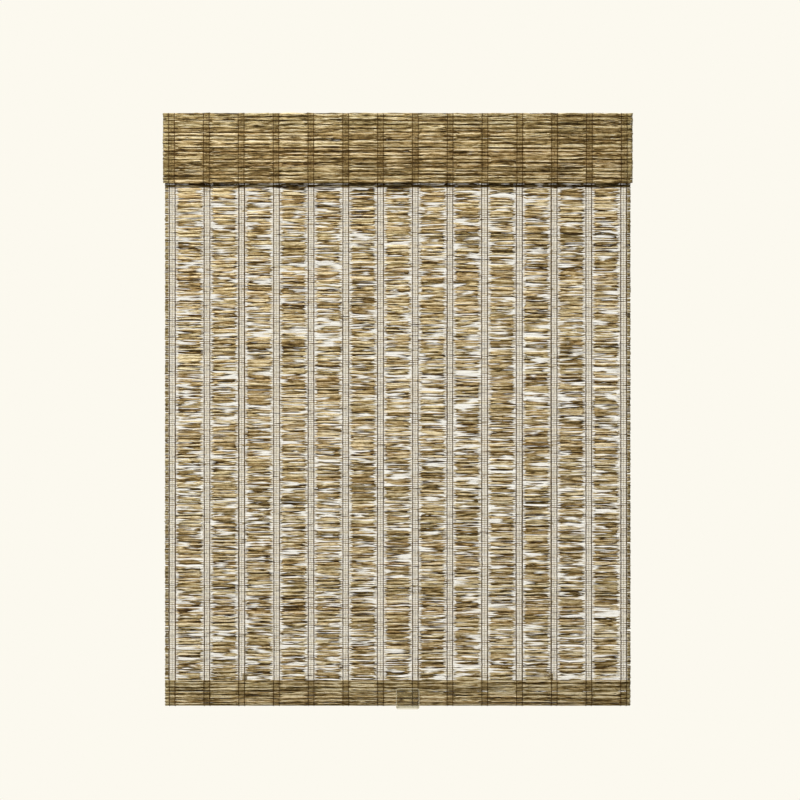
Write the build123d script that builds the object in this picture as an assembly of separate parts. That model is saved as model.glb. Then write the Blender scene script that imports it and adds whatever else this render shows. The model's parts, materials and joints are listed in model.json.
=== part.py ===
from build123d import *
import os
from math import atan2, ceil, cos, degrees, pi, sin

# Cordless woven wood shade with a valance, hung inside a window recess.
# Millimetres, +Z up. The origin is the centre of the bracket screws on the plane
# of the window head, and the front of the shade faces -Y.

# Sizes over all
shade_width = 938.0
shade_drop = 1198.0
valance_overhang = 3.0
valance_height = 141.0
valance_top_gap = 4.0

# Clearances
slide_fit = 0.3
seat_gap = 0.3
yarn_seat = 0.1
running_fit = 0.06
hex_fit = 0.1

# Headrail, a roll-formed steel channel with in-turned lips and moulded end caps
headrail_depth = 50.0
headrail_height = 40.0
headrail_wall = 1.0
headrail_lip = 6.0
headrail_corner = 1.6
cap_flange = 2.0
cap_plug_length = 12.0
cap_plug_wall = 1.8

# Mounting brackets, bent from steel strip
bracket_sheet = 1.5
bracket_width = 32.0
bracket_inset = 67.0
bracket_hook_reach = 4.2
bracket_back_space = 4.0
bracket_back_height = 36.0
bracket_bend = 1.4
bracket_corner = 4.0
screw_hole_radius = 2.2
top_hole_spacing = 16.0
back_hole_spacing = 16.0
back_hole_middle = 20.0

# Hook-and-loop tapes and the batten that stiffens the valance
tape_thickness = 0.8
tape_end_gap = 12.0
mat_tape_height = 15.0
batten_depth = 9.0
batten_height = 15.0
batten_end_gap = 7.0
batten_edge = 1.0

# Reed mat, woven from bundles of reed that lie across the width, with one ridge for each few bundles
mat_thickness = 4.0
bundle_pitch = 7.7
bundles_per_ridge = 2
ridge_crown = 1.1
crown_unevenness = 0.28
crown_step = 0.618
mat_below_batten = 2.5

# Openings between the two yarns of a warp pair, where light comes through
openings_per_pair_count = 5
opening_edge = 0.5
opening_web_rows = 4
closed_pairs_count = 1

# Warp yarns, in pairs
warp_pitch = 70.0
warp_pair_spacing = 11.4
warp_edge = 6.0
yarn_width = 1.4
yarn_thickness = 0.8
yarn_tape_gap = 2.0

# Bottom rail in the hem, its caps and the clear lift handle
rail_thickness = 6.0
rail_height = 26.0
rail_wall = 1.0
rail_play = 0.5
rail_end_gap = 2.0
rail_cap_flange = 1.5
rail_cap_plug = 14.0
handle_width = 47.0
handle_height = 42.0
handle_back_height = 26.0
handle_wall = 1.6
handle_web = 2.2
handle_corner = 5.0
handle_offset = 20.0

# Lift cords with the rings that guide them
cord_radius = 0.7
cord_inset = 160.0
cord_wrap_turns = 0.62
ring_radius = 5.5
ring_hole_radius = 4.0
ring_height = 1.8
ring_rows = 6
anchor_width = 9.0
anchor_body = 8.0
anchor_height = 11.0
anchor_tongue = 20.0
anchor_sheet = 1.4
knot_radius = 1.8

# Cord spools on their hexagonal shaft, in cradles
shaft_flats = 5.0
journal_radius = 4.2
spool_hub_radius = 9.0
spool_hub_length = 22.0
spool_flange_rise = 3.5
flange_thickness = 1.2
end_play = 0.5
cheek_thickness = 2.5
cheek_boss_radius = 8.0
cradle_floor = 2.0
cradle_rim = 8.0
cradle_wall = 1.5
snap_gap = 6.6
snout_radius = 3.2
snout_hole_radius = 1.6
snout_length = 2.2
clip_radius = 5.2
clip_thickness = 2.0
shaft_overhang = 4.0

# Spring motor
motor_x = 60.0
spring_width = 16.0
spring_play = 0.4
output_core_radius = 6.0
output_coil = 1.8
output_flange_radius = 10.5
storage_core_radius = 4.5
storage_coil = 0.4
storage_flange_radius = 7.5
spring_band = 0.3
drum_gap = 0.8
axle_radius = 2.0
motor_wall = 1.6
motor_head_room = 3.5
cover_thickness = 1.8
motor_boss_radius = 3.0
motor_boss_height = 10.0
cover_screw_radius = 1.3
cover_screw_length = 8.0
cover_screw_head_radius = 2.6
cover_screw_head_height = 1.7
recess_width = 0.8
recess_depth = 0.9

# Places worked out from the sizes, from the headrail forwards
valance_width = shade_width + 2 * valance_overhang
headrail_length = shade_width - 2 * cap_flange
bracket_spacing = headrail_length - 2 * bracket_inset
headrail_top = -bracket_sheet
headrail_bottom = headrail_top - headrail_height
headrail_floor = headrail_bottom + headrail_wall
headrail_middle = (headrail_top + headrail_bottom) / 2
headrail_front = -headrail_depth / 2
inner_depth = headrail_depth - 2 * headrail_wall
inner_height = headrail_height - 2 * headrail_wall
channel_reach = inner_depth / 2 - max(slide_fit, headrail_corner - headrail_wall)
tape_pair = 2 * tape_thickness
mat_back = headrail_front - tape_pair
mat_front = mat_back - mat_thickness
batten_front = headrail_front - tape_pair - batten_depth
valance_back = batten_front - yarn_seat
valance_front = valance_back - mat_thickness
valance_top = -valance_top_gap
valance_bottom = valance_top - valance_height
batten_top = valance_top - batten_edge
batten_bottom = batten_top - batten_height
mat_top = batten_bottom - mat_below_batten
mat_tape_top = mat_top - batten_edge
mat_tape_bottom = mat_tape_top - mat_tape_height

# Hem that wraps round the bottom rail
hem_depth = 2 * mat_thickness + rail_thickness + 2 * rail_play
hem_back = mat_front + hem_depth
hem_middle = (mat_front + hem_back) / 2
hem_bend = hem_depth / 2 - ridge_crown
hem_centre = -shade_drop + hem_bend
ridge_pitch = bundles_per_ridge * bundle_pitch
mat_rows = round((mat_top - hem_centre) / ridge_pitch)
row_pitch = (mat_top - hem_centre) / mat_rows
pocket_rows = ceil((rail_height + mat_thickness) / row_pitch)
hem_rows = pocket_rows + 1
hem_top = hem_centre + hem_rows * row_pitch
hem_shoulder = hem_centre + pocket_rows * row_pitch
hem_slope = (hem_shoulder - hem_top) / (hem_back - mat_back)

# Warp pairs, spread both ways from the middle
pairs_each_side = int((shade_width / 2 - warp_edge - warp_pair_spacing / 2) / warp_pitch + 0.5)
warp_pairs = [warp_pitch * (i + 0.5) for i in range(-pairs_each_side, pairs_each_side)]
yarn_places = [x + side * warp_pair_spacing / 2 for x in warp_pairs for side in (-1, 1)]
yarn_stand = yarn_seat + yarn_thickness

# Lift cords hang behind the warp yarn nearest to their inset, through rings sewn to that yarn
cord_x = min(yarn_places, key=lambda x: abs(shade_width / 2 - cord_inset - x))
cord_y = mat_back + yarn_stand + seat_gap + ring_radius
wrap_radius = spool_hub_radius + cord_radius + yarn_seat
shaft_y = cord_y + wrap_radius
spool_flange_radius = spool_hub_radius + spool_flange_rise
shaft_z = headrail_floor + cradle_floor + spool_flange_radius + 2 * end_play
ring_pitch = (headrail_bottom - hem_top) / (ring_rows + 1)
anchor_bottom = hem_top + seat_gap

# Motor, with the storage drum behind the output drum
storage_y = shaft_y + output_flange_radius + drum_gap + storage_flange_radius
motor_top = shaft_z + output_flange_radius + motor_head_room
drum_length = spring_width + 2 * spring_play
motor_inner = drum_length + 2 * flange_thickness + 2 * end_play


def block(x_span, y_span, z_span):
    """A box between two values on each axis."""
    spans = (x_span, y_span, z_span)
    middle = [(low + high) / 2 for low, high in spans]
    size = [abs(high - low) for low, high in spans]
    return Pos(*middle) * Box(*size)


def along_x(profile, x_start, x_end):
    """Extrudes a profile drawn in Y and Z from one X to another."""
    return Pos(x_start, 0, 0) * extrude(Plane.YZ * profile, x_end - x_start, dir=(1, 0, 0))


def shape(*points):
    """A closed flat outline through its corners, facing the same way whichever way they run."""
    outline = Polygon(*points, align=None)
    return outline if outline.face().normal_at().Z > 0 else Polygon(*reversed(points), align=None)


def hexagon(flats):
    return RegularPolygon(flats / 2, 6, major_radius=False)


def corners_near(profile, *places):
    """The corners of a flat outline that lie at the given places."""
    return [min(profile.vertices(), key=lambda v: (Vector(v) - Vector(*p)).length) for p in places]


def rod(radius, start, end):
    """A round rod between two points."""
    direction = Vector(*end) - Vector(*start)
    plane = Plane(origin=start, z_dir=direction)
    return extrude(plane * Circle(radius), direction.length)


# Headrail and its fittings


def headrail():
    outer = RectangleRounded(headrail_depth, headrail_height, headrail_corner)
    inner = RectangleRounded(inner_depth, inner_height, headrail_corner - headrail_wall)
    mouth = Rectangle(headrail_depth - 2 * headrail_lip, 4 * headrail_wall)
    section = Pos(0, headrail_middle) * (outer - inner) - Pos(0, headrail_top) * mouth
    channel = along_x(section, -headrail_length / 2, headrail_length / 2)
    for side in (-1, 1):
        hole_top = (side * cord_x, cord_y, headrail_floor + headrail_wall)
        hole_bottom = (side * cord_x, cord_y, headrail_bottom - headrail_wall)
        channel -= rod(snout_radius + slide_fit, hole_top, hole_bottom)
    return channel


def end_cap(side):
    """A flange over the end of the channel with a hollow plug inside it."""
    outline = Pos(0, headrail_middle) * RectangleRounded(headrail_depth, headrail_height, headrail_corner)
    plug_depth = inner_depth - 2 * slide_fit
    plug_height = inner_height - 2 * slide_fit
    plug = RectangleRounded(plug_depth, plug_height, headrail_corner)
    hollow = Rectangle(plug_depth - 2 * cap_plug_wall, plug_height - 2 * cap_plug_wall)
    inside = headrail_length / 2 - cap_plug_length
    face = headrail_length / 2
    cap = along_x(outline, face, face + cap_flange)
    cap += along_x(Pos(0, headrail_middle) * (plug - hollow), inside, face)
    return cap if side > 0 else mirror(cap, Plane.YZ)


def mounting_bracket(side):
    """Hooks under both lips of the headrail, with holes for the head or for the wall behind."""
    leg = headrail_depth / 2 - headrail_lip - slide_fit
    foot = leg + bracket_hook_reach
    under = headrail_top - headrail_wall - slide_fit
    low = under - bracket_sheet
    back = headrail_depth / 2 + bracket_back_space
    plate = shape((-leg, headrail_top), (-leg, 0), (back + bracket_sheet, 0),
                  (back + bracket_sheet, -bracket_back_height), (back, -bracket_back_height),
                  (back, headrail_top))
    bend = (back + bracket_sheet, 0)
    plate = fillet(corners_near(plate, bend), bracket_bend)
    for way in (-1, 1):
        plate += shape((way * leg, headrail_top), (way * leg, under), (way * foot, under),
                       (way * foot, low), (way * (leg - bracket_sheet), low),
                       (way * (leg - bracket_sheet), headrail_top))
    middle = side * bracket_spacing / 2
    bracket = along_x(plate, middle - bracket_width / 2, middle + bracket_width / 2)
    wall_outline = Rectangle(bracket_width, 2 * bracket_back_height)
    wall_outline = fillet(wall_outline.vertices(), bracket_corner)
    keep = extrude(Plane.XZ * (Pos(middle, 0) * wall_outline), headrail_depth + back, both=True)
    bracket &= keep
    for way in (-1, 1):
        y = way * top_hole_spacing / 2
        z = -back_hole_middle + way * back_hole_spacing / 2
        bracket -= rod(screw_hole_radius, (middle, y, 1), (middle, y, -2 * bracket_sheet))
        bracket -= rod(screw_hole_radius, (middle, back - 1, z), (middle, back + 2 * bracket_sheet, z))
    return bracket


# Tapes, batten and woven panels


def tape(layer, top, bottom):
    """One strip of hook or loop tape, counted in layers out from the headrail."""
    reach = headrail_length / 2 - tape_end_gap
    front = headrail_front - (layer + 1) * tape_thickness
    return block((-reach, reach), (front, front + tape_thickness), (bottom, top))


def valance_tape(layer):
    return tape(layer, batten_top - batten_edge, batten_bottom + batten_edge)


def mat_tape(layer):
    return tape(layer, mat_tape_top, mat_tape_bottom)


def valance_batten():
    reach = valance_width / 2 - batten_end_gap
    section = Rectangle(batten_depth, batten_height)
    section = fillet(section.vertices(), batten_edge)
    middle = Pos(batten_front + batten_depth / 2, (batten_top + batten_bottom) / 2)
    return along_x(middle * section, -reach, reach)


def crown(row):
    """How far a ridge stands out: no two neighbours are quite the same."""
    return ridge_crown * (1 - crown_unevenness * (row * crown_step % 1))


def ridges(valley, outward, top, pitch, rows):
    """The outline of the ridges down one face, between two row numbers."""
    lines = []
    first, last = rows
    step = 1 if last > first else -1
    for row in range(first, last, step):
        start = top - row * pitch
        end = start - step * pitch
        crest = valley + outward * crown(min(row, row + step))
        lines += Polyline((0, valley, start), (0, crest, (start + end) / 2), (0, valley, end)).edges()
    return lines


def panel(width, outline):
    """A woven panel of the given width from its section."""
    return extrude(make_face(outline), width / 2, dir=(1, 0, 0), both=True)


def shade_mat():
    """The hanging mat and its hem, one woven sheet turned round the bottom rail and sewn."""
    front = mat_front + ridge_crown
    back = mat_back - ridge_crown
    hem = hem_back - ridge_crown
    outline = ridges(front, -1, mat_top, row_pitch, (0, mat_rows))
    outline.append(ThreePointArc((0, front, hem_centre), (0, hem_middle, hem_centre - hem_bend),
                                 (0, hem, hem_centre)))
    outline += ridges(hem, 1, mat_top, row_pitch, (mat_rows, mat_rows - pocket_rows))
    outline.append(Line((0, hem, hem_shoulder), (0, back, hem_top)))
    outline += ridges(back, 1, mat_top, row_pitch, (mat_rows - hem_rows, 0))
    outline.append(Line((0, back, mat_top), (0, front, mat_top)))
    mat = panel(shade_width, outline)
    pocket = mat_back + rail_thickness + 2 * rail_play
    seam = hem_top - 2 * mat_thickness
    room = [
        Line((0, mat_back, hem_centre), (0, mat_back, seam)),
        Line((0, mat_back, seam), (0, pocket, hem_shoulder - mat_thickness)),
        Line((0, pocket, hem_shoulder - mat_thickness), (0, pocket, hem_centre)),
        ThreePointArc((0, pocket, hem_centre), (0, (mat_back + pocket) / 2,
                      hem_centre - (pocket - mat_back) / 2), (0, mat_back, hem_centre)),
    ]
    mat -= panel(2 * shade_width, room)
    return mat - openings()


def openings():
    """The open strips between the yarns of a pair, with a web of ridges left between openings."""
    width = warp_pair_spacing - yarn_width - 2 * opening_edge
    first_row = ceil((mat_top - valance_bottom) / row_pitch)
    last_row = mat_rows - hem_rows
    spread = (last_row - first_row + opening_web_rows) / openings_per_pair_count
    windows = []
    for place in range(openings_per_pair_count):
        top = mat_top - (first_row + round(place * spread)) * row_pitch
        bottom = mat_top - (first_row + round((place + 1) * spread) - opening_web_rows) * row_pitch
        for x in warp_pairs[closed_pairs_count:-closed_pairs_count]:
            windows.append(Pos(x, (top + bottom) / 2) * Rectangle(width, top - bottom))
    return extrude(Plane.XZ * Compound(windows), headrail_depth * 2, both=True)


def valance():
    rows = round(valance_height / ridge_pitch)
    pitch = valance_height / rows
    front = valance_front + ridge_crown
    back = valance_back - ridge_crown
    outline = ridges(front, -1, valance_top, pitch, (0, rows))
    outline.append(Line((0, front, valance_bottom), (0, back, valance_bottom)))
    outline += ridges(back, 1, valance_top, pitch, (rows, 0))
    outline.append(Line((0, back, valance_top), (0, front, valance_top)))
    return panel(valance_width, outline)


def strand(top, bottom, y_start, y_end):
    """A straight length of warp yarn at X = 0."""
    return block((-yarn_width / 2, yarn_width / 2), (y_start, y_end), (bottom, top))


def shade_yarns():
    """Each warp yarn: a front strand that turns round the hem, and a back strand."""
    inner = hem_depth / 2 + yarn_seat
    ring = Pos(hem_middle, hem_centre) * (Circle(inner + yarn_thickness) - Circle(inner))
    ring -= Pos(hem_middle, hem_centre + hem_depth) * Rectangle(2 * hem_depth, 2 * hem_depth)
    turn = along_x(ring, -yarn_width / 2, yarn_width / 2)
    front = strand(mat_top, hem_centre, mat_front - yarn_stand, mat_front - yarn_seat)
    rise_top = hem_shoulder - row_pitch / 2
    rise = strand(rise_top, hem_centre, hem_back + yarn_seat, hem_back + yarn_stand)
    wrapped = turn + front + rise
    back = strand(mat_tape_bottom - yarn_tape_gap, hem_top, mat_back + yarn_seat, mat_back + yarn_stand)
    return Compound([Pos(x, 0, 0) * piece for x in yarn_places for piece in (wrapped, back)])


def valance_yarns():
    front = strand(valance_top, valance_bottom, valance_front - yarn_stand, valance_front - yarn_seat)
    back_top = batten_bottom - batten_edge
    back = strand(back_top, valance_bottom, valance_back + yarn_seat, valance_back + yarn_stand)
    return Compound([Pos(x, 0, 0) * piece for x in yarn_places for piece in (front, back)])


# Bottom rail


rail_length = shade_width - 2 * rail_end_gap - 2 * rail_cap_flange
rail_middle_y = mat_back + rail_play + rail_thickness / 2
rail_bottom = hem_centre - rail_thickness / 2
rail_middle_z = rail_bottom + rail_height / 2


def rail_section(inset):
    """The rail's flat oval section, made smaller all round by the inset."""
    across = rail_thickness - 2 * inset
    return Pos(rail_middle_y, rail_middle_z) * RectangleRounded(
        across, rail_height - 2 * inset, across * 0.49)


def bottom_rail():
    return along_x(rail_section(0) - rail_section(rail_wall), -rail_length / 2, rail_length / 2)


def rail_cap(side):
    face = rail_length / 2
    cap = along_x(rail_section(0), face, face + rail_cap_flange)
    plug = rail_section(rail_wall + slide_fit / 2)
    cap += along_x(plug, face - rail_cap_plug, face)
    return cap if side > 0 else mirror(cap, Plane.YZ)


def lift_handle():
    """Clear plastic clip that grips the hem from below and gives the fingers a lip."""
    front = mat_front - yarn_stand - seat_gap
    back = hem_back + yarn_stand + seat_gap
    web_top = hem_centre - hem_depth / 2 - yarn_stand - seat_gap
    web_bottom = web_top - handle_web
    back_top = web_bottom + handle_back_height
    grip = web_bottom - handle_wall
    top = grip + handle_height
    outside = front - handle_wall
    section = shape((outside, top), (front, top), (front, web_top), (back, web_top), (back, back_top),
                    (back + handle_wall, back_top), (back + handle_wall, web_bottom),
                    (front, web_bottom), (front, grip), (outside, grip))
    soft = corners_near(section, (outside, top), (outside, grip), (back + handle_wall, back_top))
    section = fillet(soft, handle_wall / 2)
    bend = corners_near(section, (back + handle_wall, web_bottom))
    section = fillet(bend, handle_web)
    clip = along_x(section, handle_offset - handle_width / 2, handle_offset + handle_width / 2)
    face = Pos(handle_offset, (top + grip) / 2) * RectangleRounded(
        handle_width, handle_height, handle_corner)
    return clip & extrude(Plane.XZ * face, headrail_depth * 2, both=True)


# Lift cords, rings and anchors


def cord_ring(side, row):
    z = headrail_bottom - row * ring_pitch
    ring = extrude(Circle(ring_radius) - Circle(ring_hole_radius), ring_height / 2, both=True)
    ring = chamfer(ring.edges(), ring_height / 4)
    return Pos(side * cord_x, cord_y, z) * ring


def ring_row(row):
    return Compound([cord_ring(side, row) for side in (-1, 1)])


def cord_anchor(side):
    """A clip on the back of the hem that holds the knotted end of a lift cord."""
    near = cord_y - anchor_body / 2
    far = cord_y + anchor_body / 2
    top = anchor_bottom + anchor_height
    inner = hem_back + yarn_stand + seat_gap
    outer = inner + anchor_sheet
    tip = hem_shoulder - anchor_tongue
    section = shape((near, top), (far, top), (outer, on_hem(inner)), (outer, tip), (inner, tip),
                    (inner, on_hem(inner)), (near, on_hem(near)))
    x = side * cord_x
    anchor = along_x(section, x - anchor_width / 2, x + anchor_width / 2)
    knot = anchor_knot()
    anchor -= rod(cord_radius + slide_fit, (x, cord_y, knot), (x, cord_y, top + 1))
    return anchor - rod(knot_radius + slide_fit, (x, cord_y, knot + knot_radius), (x, cord_y, hem_centre))


def on_hem(y):
    """Height of an anchor's underside over the hem's sloping shoulder."""
    return anchor_bottom + (y - mat_back) * hem_slope


def anchor_knot():
    """Height of the cord's knot inside its anchor."""
    return on_hem(cord_y) + knot_radius + anchor_sheet


def lift_cord(side):
    """From its knot in the anchor straight up through the rings and round its spool."""
    start = (0, cord_y, anchor_knot())
    tangent = (0, cord_y, shaft_z)
    turn = 2 * pi * cord_wrap_turns

    def on_spool(angle):
        return (0, shaft_y - wrap_radius * cos(angle), shaft_z + wrap_radius * sin(angle))

    path = Line(start, tangent) + ThreePointArc(tangent, on_spool(turn / 2), on_spool(turn))
    cord = sweep(Plane(origin=start, z_dir=(0, 0, 1)) * Circle(cord_radius), path)
    cord += Pos(*start) * Sphere(knot_radius)
    return Pos(side * cord_x, 0, 0) * cord


# Spools, shaft and cradles


def drum(core_radius, core_length, flange_radius, round_end_radius, round_end_length):
    """A turned drum on the X axis: core, two flanges and a round end outside each flange."""
    core = core_length / 2
    flange = core + flange_thickness
    tip = flange + round_end_length
    half = [(0, core_radius), (core, core_radius), (core, flange_radius), (flange, flange_radius),
            (flange, round_end_radius), (tip, round_end_radius), (tip, 0)]
    mirrored = [(-x, r) for x, r in reversed(half[1:])]
    return revolve(shape(*half[1:], *mirrored), Axis.X)


def journal_length():
    return end_play + cheek_thickness


def cord_spool(side):
    spool = drum(spool_hub_radius, spool_hub_length, spool_flange_radius, journal_radius, journal_length())
    reach = spool_hub_length
    spool -= along_x(hexagon(shaft_flats + 2 * hex_fit), -reach, reach)
    return Pos(side * cord_x, shaft_y, shaft_z) * spool


def shaft_end():
    spool_end = cord_x + spool_hub_length / 2 + flange_thickness + journal_length()
    return spool_end + end_play + clip_thickness + shaft_overhang


def lift_shaft():
    return along_x(Pos(shaft_y, shaft_z) * hexagon(shaft_flats), -shaft_end(), shaft_end())


def shaft_clips():
    """Push-on collars that keep the shaft from sliding out of its spools."""
    outer = shaft_end() - shaft_overhang
    collar = Circle(clip_radius) - hexagon(shaft_flats + hex_fit)
    collars = []
    for side in (-1, 1):
        ends = sorted((side * outer, side * (outer - clip_thickness)))
        collars.append(along_x(Pos(shaft_y, shaft_z) * collar, *ends))
    return Compound(collars)


def cord_cradle(side):
    """Carries a spool between two cheeks and leads its cord down through the headrail."""
    reach = channel_reach
    rim = headrail_floor + cradle_rim
    inner = spool_hub_length / 2 + flange_thickness + end_play
    outer = inner + cheek_thickness
    floor_top = headrail_floor + cradle_floor
    boss_back = shaft_y + cheek_boss_radius
    boss_front = shaft_y - cheek_boss_radius
    cheek = shape((-reach, headrail_floor), (reach, headrail_floor), (reach, rim), (boss_back, shaft_z),
                  (boss_front, shaft_z), (-reach, rim))
    cheek += Pos(shaft_y, shaft_z) * Circle(cheek_boss_radius)
    cheek -= Pos(shaft_y, shaft_z) * Circle(journal_radius + running_fit)
    cheek -= Pos(shaft_y, shaft_z + cheek_boss_radius) * Rectangle(snap_gap, 2 * cheek_boss_radius)
    cradle = block((-outer, outer), (-reach, reach), (headrail_floor, floor_top))
    for way in (-1, 1):
        cradle += along_x(cheek, *sorted((way * inner, way * outer)))
        wall = sorted((way * reach, way * (reach - cradle_wall)))
        cradle += block((-outer, outer), wall, (headrail_floor, rim))
    snout_end = headrail_bottom - snout_length
    cradle += rod(snout_radius, (0, cord_y, floor_top), (0, cord_y, snout_end))
    cradle -= rod(snout_hole_radius, (0, cord_y, floor_top + 1), (0, cord_y, snout_end - 1))
    return Pos(side * cord_x, 0, 0) * cradle


# Spring motor


def output_drum():
    turned = drum(output_core_radius, drum_length, output_flange_radius, journal_radius, journal_length())
    turned -= along_x(hexagon(shaft_flats + 2 * hex_fit), -motor_inner, motor_inner)
    return Pos(motor_x, shaft_y, shaft_z) * turned


def storage_drum():
    boss = storage_core_radius - 1
    turned = drum(storage_core_radius, drum_length, storage_flange_radius, boss, end_play / 2)
    turned -= rod(axle_radius + running_fit, (-motor_inner, 0, 0), (motor_inner, 0, 0))
    return Pos(motor_x, storage_y, shaft_z) * turned


def storage_axle():
    reach = motor_inner / 2 + cheek_thickness
    return rod(axle_radius, (motor_x - reach, storage_y, shaft_z), (motor_x + reach, storage_y, shaft_z))


def motor_spring():
    """The spring strip: its coil on each drum and the band that crosses between them."""
    output_radius = output_core_radius + output_coil
    storage_radius = storage_core_radius + storage_coil
    apart = storage_y - shaft_y
    across = (output_radius + storage_radius - spring_band) / apart
    along = (1 - across ** 2) ** 0.5
    output_touch = Vector(shaft_y + (output_radius - spring_band / 2) * across,
                          shaft_z + (output_radius - spring_band / 2) * along)
    storage_touch = Vector(storage_y - (storage_radius - spring_band / 2) * across,
                           shaft_z - (storage_radius - spring_band / 2) * along)
    run = storage_touch - output_touch
    middle = (output_touch + storage_touch) * 0.5
    tilt = degrees(atan2(run.Y, run.X))
    coils = Pos(shaft_y, shaft_z) * (Circle(output_radius) - Circle(output_core_radius + yarn_seat))
    coils += Pos(storage_y, shaft_z) * (Circle(storage_radius) - Circle(storage_core_radius + yarn_seat))
    coils += Pos(middle.X, middle.Y) * Rot(0, 0, tilt) * Rectangle(run.length, spring_band)
    return along_x(coils, motor_x - spring_width / 2, motor_x + spring_width / 2)


def motor_boss_places():
    return [motor_x + way * (motor_inner / 2 + cheek_thickness + motor_boss_radius / 2) for way in (-1, 1)]


def motor_housing():
    """An open box whose cheeks hold both drums in slots closed from above by the cover."""
    reach = channel_reach
    inner = motor_inner / 2
    outer = inner + cheek_thickness
    box = block((-outer, outer), (-reach, reach), (headrail_floor, motor_top))
    box -= block((-inner, inner), (-reach + motor_wall, reach - motor_wall),
                 (headrail_floor + cradle_floor, motor_top + 1))
    for y, radius in ((shaft_y, journal_radius + running_fit), (storage_y, axle_radius + running_fit)):
        slot = Pos(y, shaft_z) * Circle(radius)
        slot += Pos(y, (shaft_z + motor_top + 1) / 2) * Rectangle(2 * radius, motor_top + 1 - shaft_z)
        box -= along_x(slot, -outer - 1, outer + 1)
    box = Pos(motor_x, 0, 0) * box
    for x in motor_boss_places():
        boss = rod(motor_boss_radius, (x, boss_y(), motor_top - motor_boss_height), (x, boss_y(), motor_top))
        box += boss - block((motor_x - inner, motor_x + inner), (-reach, reach), (headrail_floor, motor_top))
    for x in motor_boss_places():
        hole_bottom = motor_top - cover_screw_length
        box -= rod(cover_screw_radius + running_fit, (x, boss_y(), hole_bottom), (x, boss_y(), motor_top + 1))
    return box


def boss_y():
    """The cover screws stand midway between the slots of the two drums."""
    return (shaft_y + journal_radius + storage_y - axle_radius) / 2


def motor_cover():
    reach = channel_reach
    inner = motor_inner / 2
    outer = inner + cheek_thickness
    top = motor_top + cover_thickness
    cover = block((motor_x - outer, motor_x + outer), (-reach, reach), (motor_top, top))
    for x in motor_boss_places():
        cover += rod(motor_boss_radius, (x, boss_y(), motor_top), (x, boss_y(), top))
    for way in (-1, 1):
        cheek = sorted((motor_x + way * inner, motor_x + way * outer))
        for y, radius in ((shaft_y, journal_radius), (storage_y, axle_radius)):
            half = radius - slide_fit
            cover += block(cheek, (y - half, y + half), (shaft_z + radius + slide_fit, motor_top))
    for x in motor_boss_places():
        cover -= rod(cover_screw_radius + slide_fit, (x, boss_y(), motor_top - 1), (x, boss_y(), top + 1))
    return cover


def cover_screws():
    seat = motor_top + cover_thickness
    head_top = seat + cover_screw_head_height
    shank_bottom = seat - cover_screw_length
    screws = []
    for x in motor_boss_places():
        head = rod(cover_screw_head_radius, (x, boss_y(), seat), (x, boss_y(), head_top))
        head = fillet(head.edges().sort_by(Axis.Z)[-1], cover_screw_head_height / 3)
        screw = head + rod(cover_screw_radius, (x, boss_y(), shank_bottom), (x, boss_y(), seat))
        bar = cover_screw_head_radius * 1.2
        for size in ((bar, recess_width), (recess_width, bar)):
            slot = Box(*size, 2 * recess_depth)
            screw -= Pos(x, boss_y(), head_top) * slot
        screws.append(screw)
    return Compound(screws)


parts = {
    "headrail": headrail(),
    "left_end_cap": end_cap(-1),
    "right_end_cap": end_cap(1),
    "left_mounting_bracket": mounting_bracket(-1),
    "right_mounting_bracket": mounting_bracket(1),
    "valance_hook_tape": valance_tape(0),
    "valance_loop_tape": valance_tape(1),
    "mat_hook_tape": mat_tape(0),
    "mat_loop_tape": mat_tape(1),
    "valance_batten": valance_batten(),
    "valance": valance(),
    "valance_warp_yarns": valance_yarns(),
    "shade_mat": shade_mat(),
    "shade_warp_yarns": shade_yarns(),
    "bottom_rail": bottom_rail(),
    "left_rail_cap": rail_cap(-1),
    "right_rail_cap": rail_cap(1),
    "lift_handle": lift_handle(),
    "left_cord_anchor": cord_anchor(-1),
    "right_cord_anchor": cord_anchor(1),
    "left_lift_cord": lift_cord(-1),
    "right_lift_cord": lift_cord(1),
    "left_cord_spool": cord_spool(-1),
    "right_cord_spool": cord_spool(1),
    "left_cord_cradle": cord_cradle(-1),
    "right_cord_cradle": cord_cradle(1),
    "lift_shaft": lift_shaft(),
    "shaft_clips": shaft_clips(),
    "motor_housing": motor_housing(),
    "motor_cover": motor_cover(),
    "motor_cover_screws": cover_screws(),
    "output_drum": output_drum(),
    "storage_drum": storage_drum(),
    "storage_axle": storage_axle(),
    "motor_spring": motor_spring(),
}
for row in range(1, ring_rows + 1):
    parts[f"cord_rings_row_{row}"] = ring_row(row)

os.makedirs("parts", exist_ok=True)
for name, solid in parts.items():
    export_step(solid, f"parts/{name}.step")
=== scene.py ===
import json
import math
from types import SimpleNamespace

import bpy
import numpy as np
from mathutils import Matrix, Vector


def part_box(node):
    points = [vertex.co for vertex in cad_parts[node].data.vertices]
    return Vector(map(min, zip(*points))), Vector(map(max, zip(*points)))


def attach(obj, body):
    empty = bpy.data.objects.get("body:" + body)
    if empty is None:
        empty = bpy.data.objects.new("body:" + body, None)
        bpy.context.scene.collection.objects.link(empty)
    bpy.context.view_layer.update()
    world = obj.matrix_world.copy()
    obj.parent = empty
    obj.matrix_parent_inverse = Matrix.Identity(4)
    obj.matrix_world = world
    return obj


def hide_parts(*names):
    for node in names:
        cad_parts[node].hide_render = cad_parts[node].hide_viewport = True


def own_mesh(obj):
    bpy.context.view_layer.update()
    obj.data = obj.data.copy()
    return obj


# The looks of the woven wood shade: every reed stem and warp yarn is its own tube, laid where the part's
# mat, valance and yarns are. Metres, +Z up, the front of the shade faces -Y.

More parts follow.
